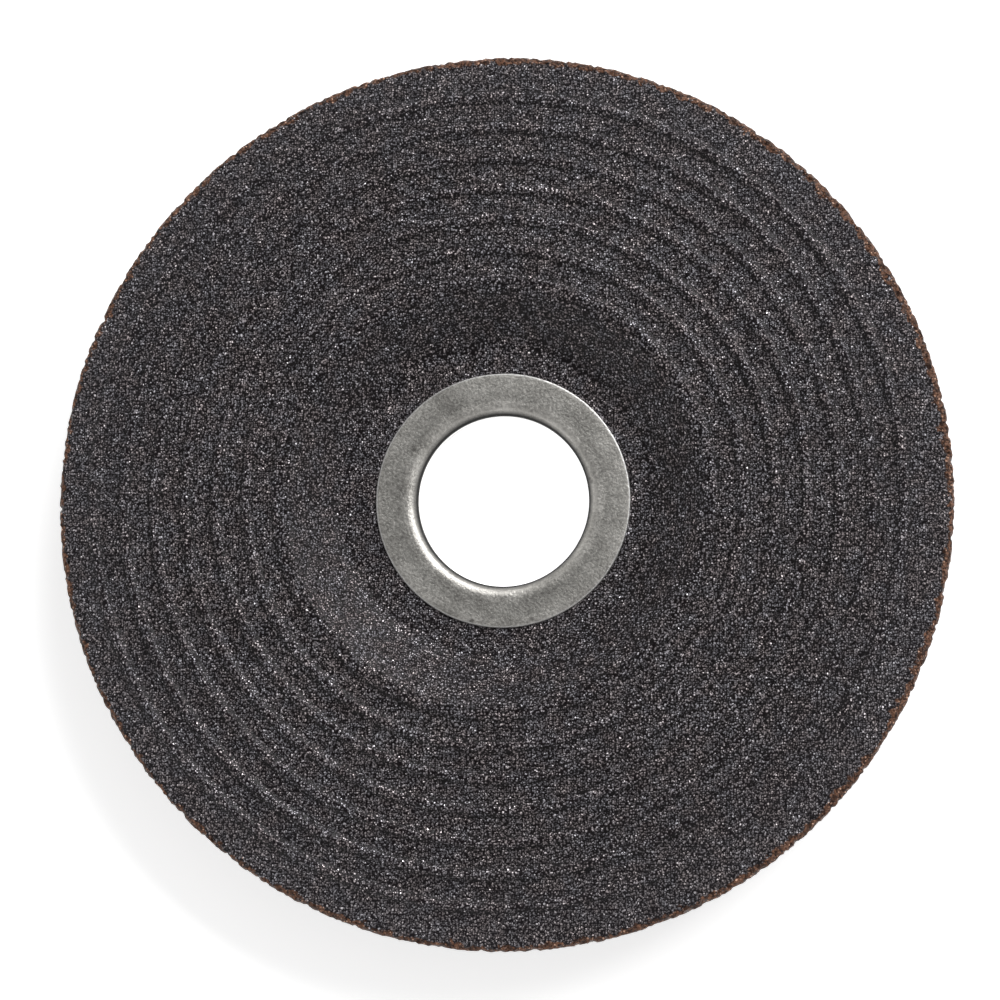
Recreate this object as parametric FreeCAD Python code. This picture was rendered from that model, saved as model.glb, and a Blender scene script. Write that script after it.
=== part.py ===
import FreeCAD, Part
import math
import os

# Depressed-centre grinding wheel for an angle grinder, in millimetres.
# It lies on the back of its hub with the hollow working side up. The axis of the bore is Z,
# and the origin is the middle of the hub's back face.

# Wheel
WHEEL_DIAMETER = 115.0
RIM_THICKNESS = 6.0
HUB_THICKNESS = 5.8
HUB_OFFSET = 4.6            # how far the outer ring's back stands above the hub's back
BACK_EDGE_RADIUS = 0.6      # rounding where the rim wall meets the back
FACE_EDGE_RADIUS = 0.8      # rounding where the rim wall meets the working face

# Shoulder between the hub and the outer ring
HUB_SEAT_DIAMETER = 43.0    # flat of the hub's back, which the grinder's flange presses on
HUB_FLOOR_DIAMETER = 37.8   # flat of the hollow, which takes the lock nut
SHOULDER_ANGLE = 40.0       # slope of both sides of the shoulder, degrees
FLOOR_FOOT_RADIUS = 4.7     # hollow side, where the floor turns up
LIP_RADIUS = 3.0            # hollow side, where the slope rolls over the first ridge
HUB_EDGE_RADIUS = 3.0       # back, where the hub's flat turns up
BACK_ROOT_RADIUS = 4.0      # back, where the slope runs out into the outer ring

# Concentric ridges of the working face
RIDGE_PITCH = 4.0
RIDGE_WIDTH = 1.8
RIDGE_HEIGHT = 0.45
RIM_BAND = 4.0              # least plain band kept between the last ridge and the rim

# Pressed steel ring in the bore
BORE_DIAMETER = 22.23
SHEET_THICKNESS = 0.5
RING_BEND_RADIUS = 1.5      # outside of the bend, which the lock nut's neck slides over
FLANGE_DIAMETER = 33.1
FLANGE_EDGE_RADIUS = 0.15   # blanked edge, worn round on the side that shows
FLANGE_PROUD = 0.3          # how far the flange stands above the hub floor
RING_HEIGHT = 3.0           # from the flange's top down to the end of the collar

# Heights and radii that follow
face_height = HUB_OFFSET + RIM_THICKNESS
crest_height = face_height + RIDGE_HEIGHT
wheel_radius = WHEEL_DIAMETER / 2.0
floor_radius = HUB_FLOOR_DIAMETER / 2.0
flange_radius = FLANGE_DIAMETER / 2.0
collar_inner = BORE_DIAMETER / 2.0
collar_outer = collar_inner + SHEET_THICKNESS
flange_top = HUB_THICKNESS + FLANGE_PROUD
flange_seat = flange_top - SHEET_THICKNESS
collar_end = flange_top - RING_HEIGHT
bend_centre = (collar_inner + RING_BEND_RADIUS, flange_top - RING_BEND_RADIUS)
seat_bend_radius = RING_BEND_RADIUS - SHEET_THICKNESS


def point(radius, height):
    return FreeCAD.Vector(radius, 0.0, height)


def on_circle(centre, radius, degrees):
    turn = math.radians(degrees)
    return (centre[0] + radius * math.cos(turn), centre[1] + radius * math.sin(turn))


class Outline:
    """Half section of a round piece, drawn as radius and height from a first corner on."""

    def __init__(self, radius, height):
        self.first = (radius, height)
        self.here = self.first
        self.edges = []

    def line_to(self, radius, height):
        there = (radius, height)
        if math.dist(self.here, there) > 1e-6:
            self.edges.append(Part.LineSegment(point(*self.here), point(*there)).toShape())
        self.here = there

    def arc(self, centre, radius, start, end):
        middle = on_circle(centre, radius, (start + end) / 2.0)
        there = on_circle(centre, radius, end)
        self.edges.append(Part.Arc(point(*self.here), point(*middle), point(*there)).toShape())
        self.here = there

    def spin(self):
        self.line_to(*self.first)
        face = Part.Face(Part.Wire(self.edges))
        return face.revolve(FreeCAD.Vector(0, 0, 0), FreeCAD.Vector(0, 0, 1), 360.0)


def slope_run(rise, low_radius, high_radius, degrees):
    """Radial length of a slope with a rounding at its low end and one at its high end."""
    turn = math.radians(degrees)
    roundings = low_radius + high_radius
    straight = (rise - roundings * (1.0 - math.cos(turn))) / math.sin(turn)
    return roundings * math.sin(turn) + straight * math.cos(turn)


def climb_outward(outline, rise, low_radius, high_radius, degrees):
    """From a flat, turn up by the angle, climb straight, and turn flat again, going outward."""
    low_end = outline.here
    high_end = (low_end[0] + slope_run(rise, low_radius, high_radius, degrees), low_end[1] + rise)
    low_centre = (low_end[0], low_end[1] + low_radius)
    high_centre = (high_end[0], high_end[1] - high_radius)
    outline.arc(low_centre, low_radius, -90.0, -90.0 + degrees)
    outline.line_to(*on_circle(high_centre, high_radius, 90.0 + degrees))
    outline.arc(high_centre, high_radius, 90.0 + degrees, 90.0)


def drop_inward(outline, drop, low_radius, high_radius, degrees):
    """From a flat, roll over and go down inward, and turn flat again."""
    high_end = outline.here
    low_end = (high_end[0] - slope_run(drop, low_radius, high_radius, degrees), high_end[1] - drop)
    low_centre = (low_end[0], low_end[1] + low_radius)
    high_centre = (high_end[0], high_end[1] - high_radius)
    outline.arc(high_centre, high_radius, 90.0, 90.0 + degrees)
    outline.line_to(*on_circle(low_centre, low_radius, -90.0 + degrees))
    outline.arc(low_centre, low_radius, -90.0 + degrees, -90.0)


# A ridge is a low bead whose section is one arc from foot to foot.
half_ridge = RIDGE_WIDTH / 2.0
bead_radius = (half_ridge ** 2 + RIDGE_HEIGHT ** 2) / (2.0 * RIDGE_HEIGHT)
bead_turn = math.degrees(math.asin(half_ridge / bead_radius))

# The first ridge is the lip of the hollow, and the others follow it outward at the pitch.
hollow_drop = crest_height - HUB_THICKNESS
lip_crest = floor_radius + slope_run(hollow_drop, FLOOR_FOOT_RADIUS, LIP_RADIUS, SHOULDER_ANGLE)
last_crest_limit = wheel_radius - RIM_BAND - half_ridge
ridge_count = int((last_crest_limit - lip_crest) / RIDGE_PITCH) + 1
ridge_crests = [lip_crest + RIDGE_PITCH * index for index in range(ridge_count)]


def make_abrasive_body():
    """Pressed abrasive: hub with a moulded seat for the ring, shoulder, ridged face and rim."""
    body = Outline(collar_outer, 0.0)

    # Back: hub flat, shoulder, and the flat back of the outer ring
    body.line_to(HUB_SEAT_DIAMETER / 2.0, 0.0)
    climb_outward(body, HUB_OFFSET, HUB_EDGE_RADIUS, BACK_ROOT_RADIUS, SHOULDER_ANGLE)

    # Rim wall with its two roundings
    body.line_to(wheel_radius - BACK_EDGE_RADIUS, HUB_OFFSET)
    back_edge = (wheel_radius - BACK_EDGE_RADIUS, HUB_OFFSET + BACK_EDGE_RADIUS)
    body.arc(back_edge, BACK_EDGE_RADIUS, -90.0, 0.0)
    face_edge = (wheel_radius - FACE_EDGE_RADIUS, face_height - FACE_EDGE_RADIUS)
    body.line_to(wheel_radius, face_edge[1])
    body.arc(face_edge, FACE_EDGE_RADIUS, 0.0, 90.0)

    # Working face, from the rim inward. The first ridge has an outer flank alone.
    for crest in reversed(ridge_crests):
        body.line_to(crest + half_ridge, face_height)
        inner_turn = bead_turn if crest > lip_crest else 0.0
        body.arc((crest, crest_height - bead_radius), bead_radius, 90.0 - bead_turn, 90.0 + inner_turn)

    # Hollow: from the first ridge's crest down the shoulder to the floor
    drop_inward(body, hollow_drop, FLOOR_FOOT_RADIUS, LIP_RADIUS, SHOULDER_ANGLE)

    # Seat that the steel ring's flange and bend leave in the hub
    body.line_to(flange_radius, HUB_THICKNESS)
    body.line_to(flange_radius, flange_seat)
    body.line_to(bend_centre[0], flange_seat)
    body.arc(bend_centre, seat_bend_radius, 90.0, 180.0)
    return body.spin()


def make_bore_ring():
    """Sheet-steel ring: a short collar in the bore, rolled over into a flat flange on the hub."""
    ring = Outline(collar_inner, collar_end)
    ring.line_to(collar_outer, collar_end)
    ring.line_to(collar_outer, bend_centre[1])
    ring.arc(bend_centre, seat_bend_radius, 180.0, 90.0)
    ring.line_to(flange_radius, flange_seat)
    edge_centre = (flange_radius - FLANGE_EDGE_RADIUS, flange_top - FLANGE_EDGE_RADIUS)
    ring.line_to(flange_radius, edge_centre[1])
    ring.arc(edge_centre, FLANGE_EDGE_RADIUS, 0.0, 90.0)
    ring.line_to(bend_centre[0], flange_top)
    ring.arc(bend_centre, RING_BEND_RADIUS, 90.0, 180.0)
    return ring.spin()


pieces = {
    "abrasive_body": make_abrasive_body(),
    "bore_ring": make_bore_ring(),
}

os.makedirs("parts", exist_ok=True)
for name, shape in pieces.items():
    shape.exportStep("parts/" + name + ".step")
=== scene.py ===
import math
import random

import bmesh
import bpy
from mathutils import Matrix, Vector, noise


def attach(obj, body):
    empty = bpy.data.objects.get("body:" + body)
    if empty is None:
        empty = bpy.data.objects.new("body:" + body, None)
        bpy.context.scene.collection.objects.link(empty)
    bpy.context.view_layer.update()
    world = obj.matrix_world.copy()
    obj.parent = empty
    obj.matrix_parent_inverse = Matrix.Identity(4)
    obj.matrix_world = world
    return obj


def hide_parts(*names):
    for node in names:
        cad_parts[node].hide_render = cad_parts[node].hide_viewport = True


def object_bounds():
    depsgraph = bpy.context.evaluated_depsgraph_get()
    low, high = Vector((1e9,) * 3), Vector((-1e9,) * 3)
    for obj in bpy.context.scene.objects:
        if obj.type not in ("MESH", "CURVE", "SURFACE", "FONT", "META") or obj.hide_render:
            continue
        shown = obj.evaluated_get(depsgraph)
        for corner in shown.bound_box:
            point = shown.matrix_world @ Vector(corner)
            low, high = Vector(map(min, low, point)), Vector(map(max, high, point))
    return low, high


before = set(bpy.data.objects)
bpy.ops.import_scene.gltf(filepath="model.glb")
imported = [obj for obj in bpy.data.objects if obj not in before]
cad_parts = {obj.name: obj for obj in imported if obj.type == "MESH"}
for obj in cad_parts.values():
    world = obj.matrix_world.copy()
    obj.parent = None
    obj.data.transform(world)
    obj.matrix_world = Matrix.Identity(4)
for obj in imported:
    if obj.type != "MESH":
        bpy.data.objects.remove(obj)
cad_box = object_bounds()

# Camera
# The photograph looks nearly straight down into the hollow, from a third of a metre away. The
# disc's axis leans a little to the upper left, so the near side of the rim is lower right.
MM = 0.001
PICTURE_SIDE = 1000.0             # pixels
VIEW_DISTANCE = 325.0 * MM
VIEW_LEAN = math.radians(8.0)
LEAN_DIRECTION = math.radians(133.6)   # where the disc's axis points, from picture right, turning up
SCALE_AT_DISC = 7778.0            # pixels of the picture for a metre at the disc
LOOKED_AT = Vector((0.0, 0.0, 8.0 * MM))
LOOKED_AT_PIXEL = (501.1, 498.5)
SENSOR_WIDTH = 36.0

towards_camera = Vector((
    -math.sin(VIEW_LEAN) * math.cos(LEAN_DIRECTION),
    -math.sin(VIEW_LEAN) * math.sin(LEAN_DIRECTION),
    math.cos(VIEW_LEAN),
))
camera_data = bpy.data.cameras.new("camera")
camera_data.sensor_width = SENSOR_WIDTH
camera_data.lens = SENSOR_WIDTH * SCALE_AT_DISC * VIEW_DISTANCE / PICTURE_SIDE
camera_data.shift_x = 0.5 - LOOKED_AT_PIXEL[0] / PICTURE_SIDE
camera_data.shift_y = LOOKED_AT_PIXEL[1] / PICTURE_SIDE - 0.5
camera_data.clip_start = 10.0 * MM
camera = bpy.data.objects.new("camera", camera_data)
camera.location = LOOKED_AT + towards_camera * VIEW_DISTANCE
camera.rotation_euler = Vector((0.0, 0.0, 1.0)).rotation_difference(towards_camera).to_euler()
bpy.context.scene.collection.objects.link(camera)
bpy.context.scene.camera = camera


# Abrasive body
# Coarse black grain in resin, pressed in one mould: hub, sloped shoulder, outer ring with
# raised rings on its working face, and a raw rim. Its section is spun in bands, each with as
# many steps as keep its facets the size of a grain, and the grain's relief is in the mesh.
RIM_RADIUS = cad_box[1][0]
RIM_THICKNESS = 6.0 * MM
HUB_THICKNESS = 5.8 * MM
HUB_OFFSET = 4.6 * MM
BACK_EDGE_RADIUS = 0.6 * MM
FACE_EDGE_RADIUS = 0.8 * MM
HUB_SEAT_RADIUS = 21.5 * MM
HUB_FLOOR_RADIUS = 18.9 * MM
SHOULDER_TURN = math.radians(40.0)
FLOOR_FOOT_RADIUS = 4.7 * MM
LIP_RADIUS = 3.0 * MM
HUB_EDGE_RADIUS = 3.0 * MM
BACK_ROOT_RADIUS = 4.0 * MM
RIDGE_PITCH = 4.0 * MM
RIDGE_WIDTH = 2.0 * MM            # to the grain heaped at a ridge's feet
RIDGE_TOP = 0.5 * MM              # flat along the crest
RIDGE_HEIGHT = 0.45 * MM
BORE_RADIUS = 11.115 * MM
SHEET = 0.5 * MM
RING_BEND_RADIUS = 1.5 * MM
FLANGE_RADIUS = 16.55 * MM
FLANGE_PROUD = 0.3 * MM

FACE_HEIGHT = HUB_OFFSET + RIM_THICKNESS
CREST_HEIGHT = FACE_HEIGHT + RIDGE_HEIGHT
FLANGE_TOP = HUB_THICKNESS + FLANGE_PROUD
BEND_CENTRE = (BORE_RADIUS + RING_BEND_RADIUS, FLANGE_TOP - RING_BEND_RADIUS)
GRAIN = 0.4 * MM                  # facet of one grain
BACK_GRAIN = 1.0 * MM
SEAT_STEP = 2.0 * MM              # hidden under the steel ring


class Section:
    """Half section, as points of radius and height about a step apart."""

    def __init__(self, radius, height, step):
        self.points = [(radius, height)]
        self.step = step

    def line_to(self, radius, height):
        here = self.points[-1]
        length = math.dist(here, (radius, height))
        count = max(1, round(length / self.step))
        for index in range(1, count + 1):
            share = index / count
            self.points.append((here[0] + (radius - here[0]) * share,
                                here[1] + (height - here[1]) * share))

    def arc(self, centre, radius, start, end, least=3):
        count = max(least, round(abs(end - start) * radius / self.step))
        for index in range(1, count + 1):
            turn = start + (end - start) * index / count
            self.points.append((centre[0] + radius * math.cos(turn),
                                centre[1] + radius * math.sin(turn)))


def slope_run(rise, low_radius, high_radius, turn):
    """Radial length of a slope with a rounding at its low end and one at its high end."""
    roundings = low_radius + high_radius
    straight = (rise - roundings * (1.0 - math.cos(turn))) / math.sin(turn)
    return roundings * math.sin(turn) + straight * math.cos(turn)


QUARTER = math.pi / 2.0
lip_crest = HUB_FLOOR_RADIUS + slope_run(
    CREST_HEIGHT - HUB_THICKNESS, FLOOR_FOOT_RADIUS, LIP_RADIUS, SHOULDER_TURN)
back_slope_end = HUB_SEAT_RADIUS + slope_run(
    HUB_OFFSET, HUB_EDGE_RADIUS, BACK_ROOT_RADIUS, SHOULDER_TURN)
half_ridge = RIDGE_WIDTH / 2.0


def back_section():
    section = Section(BORE_RADIUS + SHEET, 0.0, BACK_GRAIN)
    section.line_to(HUB_SEAT_RADIUS, 0.0)
    low_centre = (HUB_SEAT_RADIUS, HUB_EDGE_RADIUS)
    section.arc(low_centre, HUB_EDGE_RADIUS, -QUARTER, -QUARTER + SHOULDER_TURN)
    high_centre = (back_slope_end, HUB_OFFSET - BACK_ROOT_RADIUS)
    section.line_to(high_centre[0] - BACK_ROOT_RADIUS * math.sin(SHOULDER_TURN),
                    high_centre[1] + BACK_ROOT_RADIUS * math.cos(SHOULDER_TURN))
    section.arc(high_centre, BACK_ROOT_RADIUS, QUARTER + SHOULDER_TURN, QUARTER)
    section.line_to(RIM_RADIUS - BACK_EDGE_RADIUS, HUB_OFFSET)
    return section.points


def rim_section():
    back_edge = (RIM_RADIUS - BACK_EDGE_RADIUS, HUB_OFFSET + BACK_EDGE_RADIUS)
    face_edge = (RIM_RADIUS - FACE_EDGE_RADIUS, FACE_HEIGHT - FACE_EDGE_RADIUS)
    section = Section(back_edge[0], HUB_OFFSET, GRAIN)
    section.arc(back_edge, BACK_EDGE_RADIUS, -QUARTER, 0.0)
    section.line_to(RIM_RADIUS, face_edge[1])
    section.arc(face_edge, FACE_EDGE_RADIUS, 0.0, QUARTER)
    return section.points


def face_section(first_ridge, last_ridge, outer_radius):
    """Working face from outer_radius inward, to its last ridge. The lip ends at its crest."""
    section = Section(outer_radius, FACE_HEIGHT, GRAIN)
    for index in range(first_ridge, last_ridge - 1, -1):
        crest = lip_crest + RIDGE_PITCH * index
        section.line_to(crest + half_ridge, FACE_HEIGHT)
        section.line_to(crest + RIDGE_TOP / 2.0, CREST_HEIGHT)
        section.line_to(crest - RIDGE_TOP / 2.0 if index else crest, CREST_HEIGHT)
        if index:
            section.line_to(crest - half_ridge, FACE_HEIGHT)
    return section.points


def hollow_section():
    section = Section(lip_crest, CREST_HEIGHT, GRAIN)
    section.arc((lip_crest, CREST_HEIGHT - LIP_RADIUS), LIP_RADIUS, QUARTER, QUARTER + SHOULDER_TURN)
    low_centre = (HUB_FLOOR_RADIUS, HUB_THICKNESS + FLOOR_FOOT_RADIUS)
    section.line_to(low_centre[0] + FLOOR_FOOT_RADIUS * math.sin(SHOULDER_TURN),
                    low_centre[1] - FLOOR_FOOT_RADIUS * math.cos(SHOULDER_TURN))
    section.arc(low_centre, FLOOR_FOOT_RADIUS, -QUARTER + SHOULDER_TURN, -QUARTER)
    section.line_to(FLANGE_RADIUS, HUB_THICKNESS)
    return section.points


def seat_section():
    section = Section(FLANGE_RADIUS, HUB_THICKNESS, SEAT_STEP)
    section.line_to(FLANGE_RADIUS, FLANGE_TOP - SHEET)
    section.line_to(BEND_CENTRE[0], FLANGE_TOP - SHEET)
    section.arc(BEND_CENTRE, RING_BEND_RADIUS - SHEET, QUARTER, 2.0 * QUARTER)
    section.line_to(BORE_RADIUS + SHEET, 0.0)
    return section.points


def roll_band(bm, points, steps):
    """Rolls a grid of quads into a band around Z that follows a section. Returns its rows."""
    last = len(points) - 1
    made = bmesh.ops.create_grid(bm, x_segments=steps, y_segments=last, size=1.0)["verts"]
    rows = [[None] * (steps + 1) for _ in points]
    for vert in made:
        column = round((vert.co.x + 1.0) / 2.0 * steps)
        row = round((vert.co.y + 1.0) / 2.0 * last)
        radius, height = points[row]
        turn = 2.0 * math.pi * column / steps
        vert.co = (radius * math.cos(turn), radius * math.sin(turn), height)
        rows[row][column] = vert
    bmesh.ops.weld_verts(bm, targetmap={row[-1]: row[0] for row in rows})
    return [row[:-1] for row in rows]


def reaches(points, anchor):
    """Distance from the middle for each row, as if the section from the anchor on lay flat."""
    outward = 1.0 if points[0][0] < points[-1][0] else -1.0
    lengths = [0.0]
    for here, there in zip(points, points[1:]):
        lengths.append(lengths[-1] + outward * math.dist(here, there))
    return [points[anchor][0] + length - lengths[anchor] for length in lengths]


def lay_flat(bm, islands, map_side):
    """Adds the UV map for baking, on which each island of rows is a flat disc."""
    layer = bm.loops.layers.uv.new("OFBake")
    for centre, rows, row_reaches in islands:
        reach_of = {vert: reach for row, reach in zip(rows, row_reaches) for vert in row}
        for face in bm.faces:
            if any(vert not in reach_of for vert in face.verts):
                continue
            for loop in face.loops:
                co = loop.vert.co
                share = reach_of[loop.vert] / math.hypot(co.x, co.y)
                flat = (centre[0] + co.x * share, centre[1] + co.y * share)
                loop[layer].uv = (flat[0] / map_side, flat[1] / map_side)


def open_edges(row):
    """Edges along a row that have a face on one side only."""
    on_row = set(row)
    return [
        edge for edge in {edge for vert in row for edge in vert.link_edges}
        if edge.is_boundary and edge.verts[0] in on_row and edge.verts[1] in on_row
    ]


def make_piece(name, mesh):
    """Turns a finished bmesh into an object of the scene."""
    data = bpy.data.meshes.new(name)
    mesh.to_mesh(data)
    mesh.free()
    piece = bpy.data.objects.new(name, data)
    bpy.context.scene.collection.objects.link(piece)
    return piece


# Bands from the hub's back round the rim to the ring's seat, each with its number of steps
# around. A band drops its first point where the last band already ends there.
OUTER_RIDGES = (6, 4)
INNER_RIDGES = (3, 0)
inner_edge = lip_crest + RIDGE_PITCH * OUTER_RIDGES[1] - half_ridge - GRAIN
bands = [
    (back_section()[1:], 340),
    (rim_section()[1:], 860),
    (face_section(*OUTER_RIDGES, RIM_RADIUS - FACE_EDGE_RADIUS - GRAIN), 860),
    (face_section(*INNER_RIDGES, inner_edge), 600),
    (hollow_section()[1:], 400),
    (seat_section()[1:], 120),
]
body_mesh = bmesh.new()
band_rows = []
for points, steps in bands:
    band_rows.append(roll_band(body_mesh, points, steps))
for rows, next_rows in zip(band_rows, band_rows[1:] + band_rows[:1]):
    bmesh.ops.bridge_loops(body_mesh, edges=open_edges(rows[-1]) + open_edges(next_rows[0]))
bmesh.ops.recalc_face_normals(body_mesh, faces=body_mesh.faces)

# The back is one flat disc on the map and everything else is the other, both at true lengths.
# They lie on the map's diagonal and just touch.
front_rows = [row for rows in band_rows[1:] for row in rows]
front_points = [place for points, steps in bands[1:] for place in points]
flange_row = len(front_points) - len(bands[-1][0])
front_reaches = reaches(front_points, flange_row)
back_reaches = reaches(bands[0][0], 0)
edge_reach = front_reaches[0] + math.dist(bands[0][0][-1], front_points[0])
MAP_SIDE = (edge_reach + back_reaches[-1]) * (1.0 + math.sqrt(0.5))
lay_flat(body_mesh, [
    ((edge_reach, edge_reach), [band_rows[0][-1]] + front_rows, [edge_reach] + front_reaches),
    ((MAP_SIDE - back_reaches[-1], MAP_SIDE - back_reaches[-1]), band_rows[0], back_reaches),
], MAP_SIDE)

# The mould's rings sit a little off the middle of the bore, as in the photograph. The face and
# the hollow have all of the shift between the radii of FULL_SHIFT, and none past NO_SHIFT.
OFF_MIDDLE = Vector((-0.80 * MM, 0.12 * MM, 0.0))
FULL_SHIFT = (21.0 * MM, 53.3 * MM)
NO_SHIFT = (16.8 * MM, 56.2 * MM)
for rows in band_rows[2:5]:
    for row in rows:
        for vert in row:
            radius = math.hypot(vert.co.x, vert.co.y)
            inside = (radius - NO_SHIFT[0]) / (FULL_SHIFT[0] - NO_SHIFT[0])
            outside = (NO_SHIFT[1] - radius) / (NO_SHIFT[1] - FULL_SHIFT[1])
            vert.co += OFF_MIDDLE * min(1.0, max(0.0, min(inside, outside)))

# Relief: each corner of a facet moves a little along the surface and into it, and none rises
# past the crests. The rim is chipped deeper, in streaks that run down its wall.
RELIEF = 0.07 * MM
CLUMP_RELIEF = 0.01 * MM
CLUMP_SIZE = 1.1 * MM
RIM_RELIEF = 0.40 * MM
RIM_CLUMP_SIZES = (0.35 * MM, 0.8 * MM)
RIM_STREAK = 0.1
SIDEWAYS = 0.3
body_mesh.normal_update()
draw = random.Random(7)
hidden = {vert for row in band_rows[-1] for vert in row}
for vert in body_mesh.verts:
    if vert in hidden:
        continue
    normal = vert.normal
    side = normal.orthogonal().normalized()
    turn = draw.uniform(0.0, 2.0 * math.pi)
    side = side * math.cos(turn) + normal.cross(side) * math.sin(turn)
    clump = 0.5 + 0.5 * noise.noise(vert.co / CLUMP_SIZE)
    sink = RELIEF * draw.random() + CLUMP_RELIEF * clump
    if vert.co.xy.length > RIM_RADIUS - FACE_EDGE_RADIUS:
        column = Vector((vert.co.x, vert.co.y, vert.co.z * RIM_STREAK))
        for size in RIM_CLUMP_SIZES:
            sink += RIM_RELIEF * max(0.0, noise.noise(column / size))
    vert.co += side * (SIDEWAYS * GRAIN * draw.random()) - normal * sink
    vert.co.z = min(vert.co.z, CREST_HEIGHT)
bmesh.ops.triangulate(body_mesh, faces=body_mesh.faces, quad_method="BEAUTY")
grit_body = make_piece("grit_body", body_mesh)


class Nodes:
    """Adds nodes to a tree and links them in one line each."""

    def __init__(self, tree):
        self.tree = tree

    def set(self, socket, value):
        if isinstance(value, bpy.types.NodeSocket):
            self.tree.links.new(value, socket)
        else:
            socket.default_value = value

    def feed(self, node, values):
        for socket, value in zip(node.inputs, values):
            self.set(socket, value)

    def add(self, kind, settings=None, **inputs):
        node = self.tree.nodes.new(kind)
        for name, value in (settings or {}).items():
            setattr(node, name, value)
        for name, value in inputs.items():
            self.set(node.inputs[name.replace("_", " ")], value)
        return node


def new_material(name):
    material = bpy.data.materials.new(name)
    material.use_nodes = True
    material.node_tree.nodes.clear()
    return material, Nodes(material.node_tree)


def math_node(n, operation, *values):
    node = n.add("ShaderNodeMath", {"operation": operation})
    n.feed(node, values)
    return node.outputs[0]


def vector_node(n, operation, *values):
    node = n.add("ShaderNodeVectorMath", {"operation": operation})
    n.feed(node, values)
    return node.outputs[0]


def axis_distance(n, place, shift=(0.0, 0.0, 0.0)):
    """Distance of a place from the upright axis, once it is shifted."""
    flat = vector_node(n, "MULTIPLY_ADD", place, (1.0, 1.0, 0.0), shift)
    return n.add("ShaderNodeVectorMath", {"operation": "LENGTH"}, Vector=flat).outputs["Value"]


def mix_colors(n, blend_type, share, first, second):
    node = n.add("ShaderNodeMix", {"data_type": "RGBA", "blend_type": blend_type})
    for name, value in (("Factor_Float", share), ("A_Color", first), ("B_Color", second)):
        socket = next(item for item in node.inputs if item.identifier == name)
        n.set(socket, value)
    return next(item for item in node.outputs if item.identifier == "Result_Color")


def span(n, value, low, high, to_low=0.0, to_high=1.0, smooth=True):
    """Turns a range of a value into another, with soft ends."""
    settings = {"interpolation_type": "SMOOTHSTEP" if smooth else "LINEAR"}
    node = n.add("ShaderNodeMapRange", settings, Value=value, From_Min=low, From_Max=high,
                 To_Min=to_low, To_Max=to_high)
    return node.outputs[0]


# Grains of one size, bedded in dark resin: each has its own shade, hue and lean. They lie in
# layers, and the face and the hub's floor both cut one through the middle, so that they show
# as much grain everywhere.
GRAIN_JITTER = 0.75
LAYER_HEIGHT = FACE_HEIGHT - (RELIEF + CLUMP_RELIEF) / 2.0
HOLLOW_DEPTH = FACE_HEIGHT - HUB_THICKNESS
COARSE_LAYERS = 11
FINE_LAYERS = 17
GRAIN_CORE = 0.45                 # share of a grain's reach that it covers wholly
grains = bpy.data.node_groups.new("grains", "ShaderNodeTree")
for name, kind in (("Place", "Vector"), ("Density", "Float"), ("Reach", "Float")):
    grains.interface.new_socket(name, in_out="INPUT", socket_type="NodeSocket" + kind)
for name, kind in (("Shade", "Float"), ("Hue", "Float"), ("Lean", "Vector"), ("Cover", "Float")):
    grains.interface.new_socket(name, in_out="OUTPUT", socket_type="NodeSocket" + kind)
n = Nodes(grains)
given = n.add("NodeGroupInput").outputs
layered = vector_node(n, "SUBTRACT", given["Place"], (0.0, 0.0, LAYER_HEIGHT))
layered = vector_node(n, "MULTIPLY_ADD", layered, given["Density"], (0.0, 0.0, GRAIN_JITTER / 2.0))
cells = n.add("ShaderNodeTexVoronoi", Vector=layered, Scale=1.0, Randomness=GRAIN_JITTER)
parts = n.add("ShaderNodeSeparateColor", Color=cells.outputs["Color"])
lean = vector_node(n, "SUBTRACT", cells.outputs["Color"], (0.5, 0.5, 0.5))
core = math_node(n, "MULTIPLY", given["Reach"], GRAIN_CORE)
n.add("NodeGroupOutput", Shade=parts.outputs["Red"], Hue=parts.outputs["Green"], Lean=lean,
      Cover=span(n, cells.outputs["Distance"], given["Reach"], core))

WANDER = (0.3 * MM, 0.3 * MM, 0.1 * MM)
grit, n = new_material("grit")
place = n.add("ShaderNodeTexCoord").outputs["Object"]
wander = n.add("ShaderNodeTexNoise", Vector=place, Scale=1800.0, Detail=1.0).outputs["Color"]
wander = vector_node(n, "SUBTRACT", wander, (0.5, 0.5, 0.5))
wandered = vector_node(n, "MULTIPLY_ADD", wander, WANDER, place)
coarse = n.add("ShaderNodeGroup", {"node_tree": grains}, Place=wandered,
               Density=COARSE_LAYERS / HOLLOW_DEPTH, Reach=0.41).outputs
fine = n.add("ShaderNodeGroup", {"node_tree": grains}, Place=wandered,
             Density=FINE_LAYERS / HOLLOW_DEPTH, Reach=0.49).outputs


def shades(n, value, *stops):
    """Colour ramp from stops of position, red, green and blue."""
    node = n.add("ShaderNodeValToRGB", Fac=value)
    ramp = node.color_ramp
    while len(ramp.elements) < len(stops):
        ramp.elements.new(0.5)
    for element, stop in zip(ramp.elements, stops):
        element.position = stop[0]
        element.color = (*stop[1:], 1.0)
    return node.outputs["Color"]


def greys(n, value, *stops):
    """Colour ramp of greys, from stops of position and level."""
    return shades(n, value, *((position, level, level, level) for position, level in stops))


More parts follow.
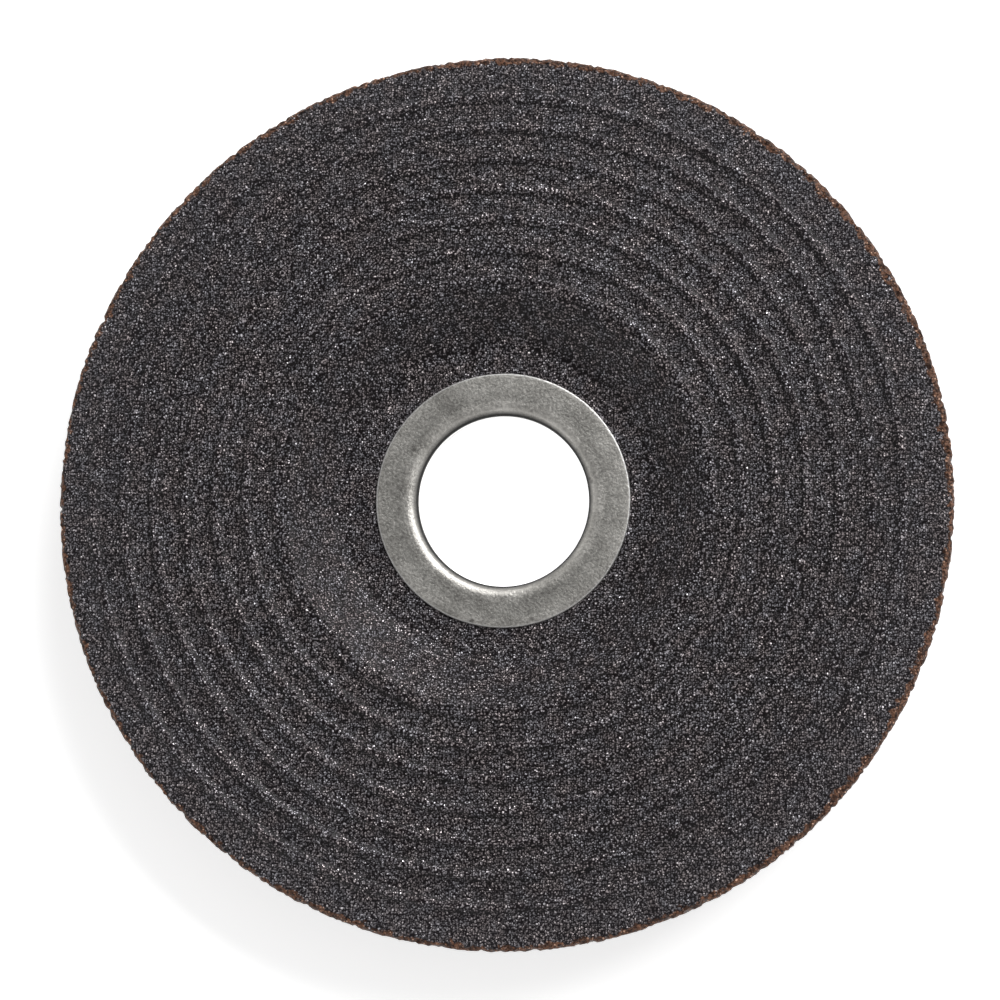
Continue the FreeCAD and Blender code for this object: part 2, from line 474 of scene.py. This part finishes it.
# Grain has a mineral shine and the resin between is dull, so the grain counts as part metal.
RESIN = (0.0042, 0.0027, 0.0033, 1.0)
FINE_SHINE = 0.7
large = shades(n, coarse["Shade"], (0.0, 0.245, 0.235, 0.240), (0.6, 0.320, 0.308, 0.314),
               (0.93, 0.450, 0.438, 0.444), (1.0, 0.820, 0.808, 0.812))
small = shades(n, fine["Shade"], (0.0, 0.078, 0.074, 0.077), (0.6, 0.178, 0.171, 0.175),
               (0.9, 0.345, 0.334, 0.340), (1.0, 0.780, 0.766, 0.774))
large_share = math_node(n, "MULTIPLY", coarse["Cover"], span(n, fine["Shade"], 0.0, 1.0, 0.5, 1.0))
coat = mix_colors(n, "MIX", fine["Cover"], RESIN, small)
coat = mix_colors(n, "MIX", large_share, coat, large)
shine = math_node(n, "MAXIMUM", large_share, math_node(n, "MULTIPLY", fine["Cover"], FINE_SHINE))

# Faint blotches of bluish and brownish grain
blotch = n.add("ShaderNodeTexNoise", Vector=place, Scale=420.0, Detail=2.0).outputs["Fac"]
cast = shades(n, blotch, (0.35, 0.990, 0.985, 1.050), (0.65, 1.073, 0.97, 0.968))
coat = mix_colors(n, "MULTIPLY", 1.0, coat, cast)

# On the working side crests are painted lighter, partly as wear and partly as painted light, and
# their feet are painted darker as painted shade. The seam round the steel ring is dulled as painted
# shade, the hollow's slope is painted paler as painted light against its shade, and fine dust lies
# on the outer band. Pairs of radii or heights are where such a mark begins and where it is full.
WORKING_SIDE = (HUB_OFFSET + 0.3 * MM, HUB_THICKNESS - 0.5 * MM)
RIDGES_BEGIN = (-0.10, -0.02)     # in pitches from the lip's crest
RIDGES_END = (OUTER_RIDGES[0] + 0.5, OUTER_RIDGES[0] + 0.4)
SLOPE_FOOT = (18.0 * MM, 20.5 * MM)
SLOPE_HEAD = (28.0 * MM, 25.5 * MM)
SLOPE_PAINTED_LIGHT = 0.12
SEAM = (FLANGE_RADIUS + 0.3 * MM, FLANGE_RADIUS + 0.1 * MM)
SEAM_PAINTED_SHADE = 0.85
DUSTY = (42.0 * MM, 57.0 * MM)
DUST_SHARE = 0.13
DUST = (0.052, 0.050, 0.057, 1.0)
height = n.add("ShaderNodeSeparateXYZ", Vector=place).outputs["Z"]
front = span(n, height, *WORKING_SIDE)
radius = axis_distance(n, place)
mould_radius = axis_distance(n, place, -OFF_MIDDLE)
pitches = math_node(n, "DIVIDE", math_node(n, "SUBTRACT", mould_radius, lip_crest), RIDGE_PITCH)
from_crest = math_node(n, "PINGPONG", pitches, 0.5)
# Painted light on the crests, partly wear, and painted shade at the ridges' feet
crest_wear_and_painted_shade = greys(n, from_crest, (0.05, 1.42), (0.14, 1.10), (0.22, 0.84), (0.27, 0.86), (0.34, 0.98))
ridged = math_node(n, "MULTIPLY", span(n, pitches, *RIDGES_BEGIN), span(n, pitches, *RIDGES_END))
ridged = math_node(n, "MULTIPLY", ridged, front)
sloped = math_node(n, "MULTIPLY", span(n, radius, *SLOPE_FOOT), span(n, radius, *SLOPE_HEAD))
# Painted light: the hollow's slope is made paler against the shade that falls in the hollow
painted_light_and_shade = math_node(n, "MULTIPLY_ADD", math_node(n, "MULTIPLY", sloped, front), SLOPE_PAINTED_LIGHT, 1.0)
# Painted shade in the seam round the steel ring: the grain there loses its shine
seam_shade_share = span(n, radius, *SEAM, 0.0, SEAM_PAINTED_SHADE)
seam = math_node(n, "SUBTRACT", 1.0, math_node(n, "MULTIPLY", seam_shade_share, front))
slope_painted_light = n.add("ShaderNodeCombineColor", Red=painted_light_and_shade, Green=painted_light_and_shade, Blue=painted_light_and_shade).outputs[0]
coat = mix_colors(n, "MULTIPLY", 1.0, coat, slope_painted_light)
coat = mix_colors(n, "MULTIPLY", ridged, coat, crest_wear_and_painted_shade)
dust = math_node(n, "MULTIPLY", span(n, radius, *DUSTY, 0.0, DUST_SHARE, smooth=False), front)
coat = mix_colors(n, "MIX", dust, coat, DUST)
shine = math_node(n, "MULTIPLY", shine, math_node(n, "SUBTRACT", 1.0, dust))

# Raw rim: the black coat stops short of it, at a ragged line a little off the middle, and
# brown grain shows. COAT_END is a radius with the raggedness added.
COAT_SHIFT = (0.14 * MM, 0.05 * MM, 0.0)
RAGGEDNESS = 2.8 * MM
COAT_END = (57.92 * MM, 58.17 * MM)
ragged = n.add("ShaderNodeTexNoise", Vector=place, Scale=900.0, Detail=3.0).outputs["Fac"]
ragged_radius = math_node(n, "MULTIPLY_ADD", ragged, RAGGEDNESS, axis_distance(n, place, COAT_SHIFT))
raw = span(n, ragged_radius, *COAT_END)
brown = shades(n, coarse["Hue"], (0.0, 0.070, 0.034, 0.022), (0.6, 0.280, 0.146, 0.092),
               (1.0, 0.760, 0.470, 0.340))
dusk = shades(n, fine["Hue"], (0.3, 0.036, 0.017, 0.011), (1.0, 0.200, 0.098, 0.060))
brown = mix_colors(n, "MIX", coarse["Cover"], dusk, brown)
color = mix_colors(n, "MIX", raw, coat, brown)
# The seam's painted shade dulls the grain's shine there
shine = math_node(n, "MULTIPLY", shine, seam)
shine = math_node(n, "MULTIPLY", shine, math_node(n, "SUBTRACT", 1.0, raw))

# Grains swell out of the resin, and each leans its own way.
FINE_SWELL = 0.35
SWELL_HEIGHT = 0.1 * MM
COARSE_LEAN = (0.14, 0.14, 0.14)
FINE_LEAN = (0.34, 0.34, 0.34)
GRAIN_ROUGHNESS = (0.28, 0.46)
swell = math_node(n, "MULTIPLY_ADD", fine["Cover"], FINE_SWELL, coarse["Cover"])
bump = n.add("ShaderNodeBump", Height=swell, Strength=1.0, Distance=SWELL_HEIGHT).outputs[0]
facing = vector_node(n, "MULTIPLY_ADD", coarse["Lean"], COARSE_LEAN, bump)
facing = vector_node(n, "MULTIPLY_ADD", fine["Lean"], FINE_LEAN, facing)
facing = vector_node(n, "NORMALIZE", facing)
rough = span(n, fine["Hue"], 0.0, 1.0, *GRAIN_ROUGHNESS, smooth=False)
shader = n.add("ShaderNodeBsdfPrincipled", Base_Color=color, Metallic=shine, Roughness=rough,
               Normal=facing)
shader.inputs["Specular IOR Level"].default_value = 0.2
n.add("ShaderNodeOutputMaterial", Surface=shader.outputs[0])
grit_body.data.materials.append(grit)
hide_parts("abrasive_body")
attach(grit_body, "root")


# Bore ring
# Sheet steel, pressed: a short collar in the bore rolls over into a flat flange on the hub.
# Its section is spun, and its outer edge is worn round. Painted shade, a near-black dull band,
# lies low on the bend, and the straight wall below it is clean.
RING_HEIGHT = 3.0 * MM
RING_STEP = 0.12 * MM
FLANGE_STEP = 4.0 * RING_STEP
RING_STEPS_AROUND = 360
FLANGE_EDGE_RADIUS = 0.2 * MM


def ring_section():
    flange_seat = FLANGE_TOP - SHEET
    edge_centre = (FLANGE_RADIUS - FLANGE_EDGE_RADIUS, FLANGE_TOP - FLANGE_EDGE_RADIUS)
    section = Section(BORE_RADIUS + SHEET, FLANGE_TOP - RING_HEIGHT, RING_STEP)
    section.line_to(BORE_RADIUS, FLANGE_TOP - RING_HEIGHT)
    section.line_to(BORE_RADIUS, BEND_CENTRE[1])
    section.arc(BEND_CENTRE, RING_BEND_RADIUS, 2.0 * QUARTER, QUARTER)
    section.step = FLANGE_STEP
    section.line_to(edge_centre[0], FLANGE_TOP)
    section.arc(edge_centre, FLANGE_EDGE_RADIUS, QUARTER, 0.0, least=5)
    section.line_to(FLANGE_RADIUS, flange_seat)
    section.line_to(BEND_CENTRE[0], flange_seat)
    section.arc(BEND_CENTRE, RING_BEND_RADIUS - SHEET, QUARTER, 2.0 * QUARTER)
    section.line_to(BORE_RADIUS + SHEET, FLANGE_TOP - RING_HEIGHT)
    return section.points


ring_mesh = bmesh.new()
ring_rows = roll_band(ring_mesh, ring_section(), RING_STEPS_AROUND)
bmesh.ops.weld_verts(ring_mesh, targetmap=dict(zip(ring_rows[-1], ring_rows[0])))
bmesh.ops.recalc_face_normals(ring_mesh, faces=ring_mesh.faces)
steel_ring = make_piece("steel_ring", ring_mesh)
steel_ring.data.shade_smooth()
steel_ring.data.set_sharp_from_angle(angle=math.radians(40.0))

steel, n = new_material("ring_steel")
place = n.add("ShaderNodeTexCoord").outputs["Object"]
mottle = n.add("ShaderNodeTexNoise", Vector=place, Scale=3000.0, Detail=3.0, Roughness=0.7)
mottle = mottle.outputs["Fac"]
cloud = n.add("ShaderNodeTexNoise", Vector=place, Scale=260.0, Detail=2.0).outputs["Fac"]
patches = math_node(n, "MULTIPLY_ADD", cloud, 0.5, math_node(n, "MULTIPLY", mottle, 0.5))
tint = shades(n, patches, (0.35, 0.43, 0.415, 0.388), (0.65, 0.86, 0.836, 0.788))

# A few dark pits, in the cells whose random value is high
PIT_EDGE = (0.22, 0.10)
PITTED = (0.90, 0.93)
PIT_SHARE = 0.6
PIT = (0.07, 0.065, 0.06, 1.0)
spots = n.add("ShaderNodeTexVoronoi", Vector=place, Scale=520.0)
pick = n.add("ShaderNodeSeparateColor", Color=spots.outputs["Color"]).outputs["Red"]
pit = math_node(n, "MULTIPLY", span(n, spots.outputs["Distance"], *PIT_EDGE), span(n, pick, *PITTED))
color = mix_colors(n, "MIX", math_node(n, "MULTIPLY", pit, PIT_SHARE), tint, PIT)

# The bend's top is painted brightest, as a painted highlight. The flange is painted darker next to
# it and lighter outward, as painted shade and light, to an edge that is partly worn and partly a
# painted highlight. The painted shade lies on the bend just above the clean straight wall.
STEEL_ROUGHNESS = (0.38, 0.52)
EDGE_WEAR_AND_HIGHLIGHT = (FLANGE_RADIUS - 0.28 * MM, FLANGE_RADIUS - 0.18 * MM)
WORN_EDGE_AND_HIGHLIGHT = (0.78, 0.77, 0.75, 1.0)
WALL_TOP = (BEND_CENTRE[1], BEND_CENTRE[1] - 0.15 * MM)
CLEAN_WALL = (0.94, 0.93, 0.92, 1.0)
PAINTED_SHADE_RADII = (11.80 * MM, 11.28 * MM)
PAINTED_SHADE_COLOR = (0.012, 0.011, 0.010, 1.0)
PAINTED_SHADE_ROUGHNESS = 0.8
DENT_DEPTH = 0.08 * MM
height = n.add("ShaderNodeSeparateXYZ", Vector=place).outputs["Z"]
radius = axis_distance(n, place)
# Painted highlight on the bend's top, and painted shade and light across the flange
painted_light_and_shade = greys(n, span(n, radius, BORE_RADIUS, FLANGE_RADIUS, smooth=False), (0.22, 1.0), (0.42, 0.68),
               (0.65, 0.80), (0.92, 0.88))
color = mix_colors(n, "MULTIPLY", 1.0, color, painted_light_and_shade)
# Lighter edge, partly wear and partly a painted highlight
color = mix_colors(n, "MIX", span(n, radius, *EDGE_WEAR_AND_HIGHLIGHT), color, WORN_EDGE_AND_HIGHLIGHT)
wall = span(n, height, *WALL_TOP)
color = mix_colors(n, "MIX", wall, color, CLEAN_WALL)
# Painted shade: a near-black dull band low on the bend, where it turns into the bore
bend_painted_shade = span(n, radius, *PAINTED_SHADE_RADII, smooth=False)
bend_painted_shade = math_node(n, "MULTIPLY", bend_painted_shade, math_node(n, "SUBTRACT", 1.0, wall))
color = mix_colors(n, "MIX", bend_painted_shade, color, PAINTED_SHADE_COLOR)
bump = n.add("ShaderNodeBump", Height=mottle, Strength=0.9, Distance=DENT_DEPTH).outputs[0]
rough = span(n, mottle, 0.3, 0.7, *STEEL_ROUGHNESS)
rough = math_node(n, "MAXIMUM", rough, math_node(n, "MULTIPLY", bend_painted_shade, PAINTED_SHADE_ROUGHNESS))
unshaded_metal = math_node(n, "SUBTRACT", 1.0, bend_painted_shade)
shader = n.add("ShaderNodeBsdfPrincipled", Base_Color=color, Metallic=unshaded_metal, Roughness=rough, Normal=bump)
n.add("ShaderNodeOutputMaterial", Surface=shader.outputs[0])
steel_ring.data.materials.append(steel)
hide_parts("bore_ring")
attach(steel_ring, "root")


# Floor, backdrop and light
# Plain pale paper, which shows white to the camera and in the steel, and keeps the shadow
# around the disc; under the hole it glows fully, as painted light over the disc's shadow there. A
# long lamp stands low at the upper right, so that the ridges throw shadows, with a weak one
# opposite, under a sky that is pale at the horizon and dim overhead.
FLOOR_REACH = 1.5
FLOOR_COLOR = (0.9, 0.9, 0.9, 1.0)
HOLE_GLOW = 1.0
FLOOR_GLOW = 0.6                  # the lamps add the rest there
floor_mesh = bmesh.new()
bmesh.ops.create_grid(floor_mesh, x_segments=1, y_segments=1, size=FLOOR_REACH)
floor = make_piece("floor", floor_mesh)
paper, n = new_material("floor")
shader = n.add("ShaderNodeBsdfPrincipled", Roughness=0.9)
shader.inputs["Base Color"].default_value = FLOOR_COLOR
radius = axis_distance(n, n.add("ShaderNodeTexCoord").outputs["Object"])
# Painted light: the floor glows fully under the hole, over the disc's shadow there
strength = span(n, radius, BORE_RADIUS, 2.0 * BORE_RADIUS, HOLE_GLOW, FLOOR_GLOW)
glow = n.add("ShaderNodeEmission", Strength=strength)
lit = n.add("ShaderNodeAddShader")
n.feed(lit, (shader.outputs[0], glow.outputs[0]))
path = n.add("ShaderNodeLightPath").outputs
shown = math_node(n, "MAXIMUM", path["Is Camera Ray"], path["Is Glossy Ray"])
shown = math_node(n, "MAXIMUM", shown, path["Is Transmission Ray"])
seen = n.add("ShaderNodeMixShader")
n.feed(seen, (shown, shader.outputs[0], lit.outputs[0]))
n.add("ShaderNodeOutputMaterial", Surface=seen.outputs[0])
floor.data.materials.append(paper)

LIGHT_TURN = math.radians(53.0)
LIGHT_HEIGHT = math.radians(38.0)
LIGHT_DISTANCE = 2.0
FILL_RISE = 0.13                  # height for each unit of distance along the floor


def hang_lamp(name, width, height, watts, direction):
    """Hangs a flat lamp in a direction from the disc, facing it."""
    data = bpy.data.lights.new(name, "AREA")
    data.shape = "RECTANGLE"
    data.size = width
    data.size_y = height
    data.energy = watts
    lamp = bpy.data.objects.new(name, data)
    lamp.location = direction * LIGHT_DISTANCE
    lamp.rotation_euler = direction.to_track_quat("Z", "Y").to_euler()
    bpy.context.scene.collection.objects.link(lamp)


key_direction = Vector((
    math.cos(LIGHT_HEIGHT) * math.cos(LIGHT_TURN),
    math.cos(LIGHT_HEIGHT) * math.sin(LIGHT_TURN),
    math.sin(LIGHT_HEIGHT),
))
fill_direction = Vector((-math.cos(LIGHT_TURN), -math.sin(LIGHT_TURN), FILL_RISE)).normalized()
hang_lamp("key", width=1.4, height=0.6, watts=31.0, direction=key_direction)
hang_lamp("fill", width=1.2, height=0.4, watts=3.0, direction=fill_direction)

HORIZON_LEVEL = 1.0
OVERHEAD_LEVEL = 0.12
world = bpy.data.worlds.new("room")
bpy.context.scene.world = world
world.use_nodes = True
n = Nodes(world.node_tree)
towards = n.add("ShaderNodeTexCoord").outputs["Generated"]
upward = n.add("ShaderNodeSeparateXYZ", Vector=towards).outputs["Z"]
level = span(n, upward, 0.0, 1.0, HORIZON_LEVEL, OVERHEAD_LEVEL, smooth=False)
sky = world.node_tree.nodes["Background"].inputs
n.set(sky["Color"], (1.0, 1.0, 1.0, 1.0))
n.set(sky["Strength"], level)
bpy.context.scene.view_settings.view_transform = "Standard"
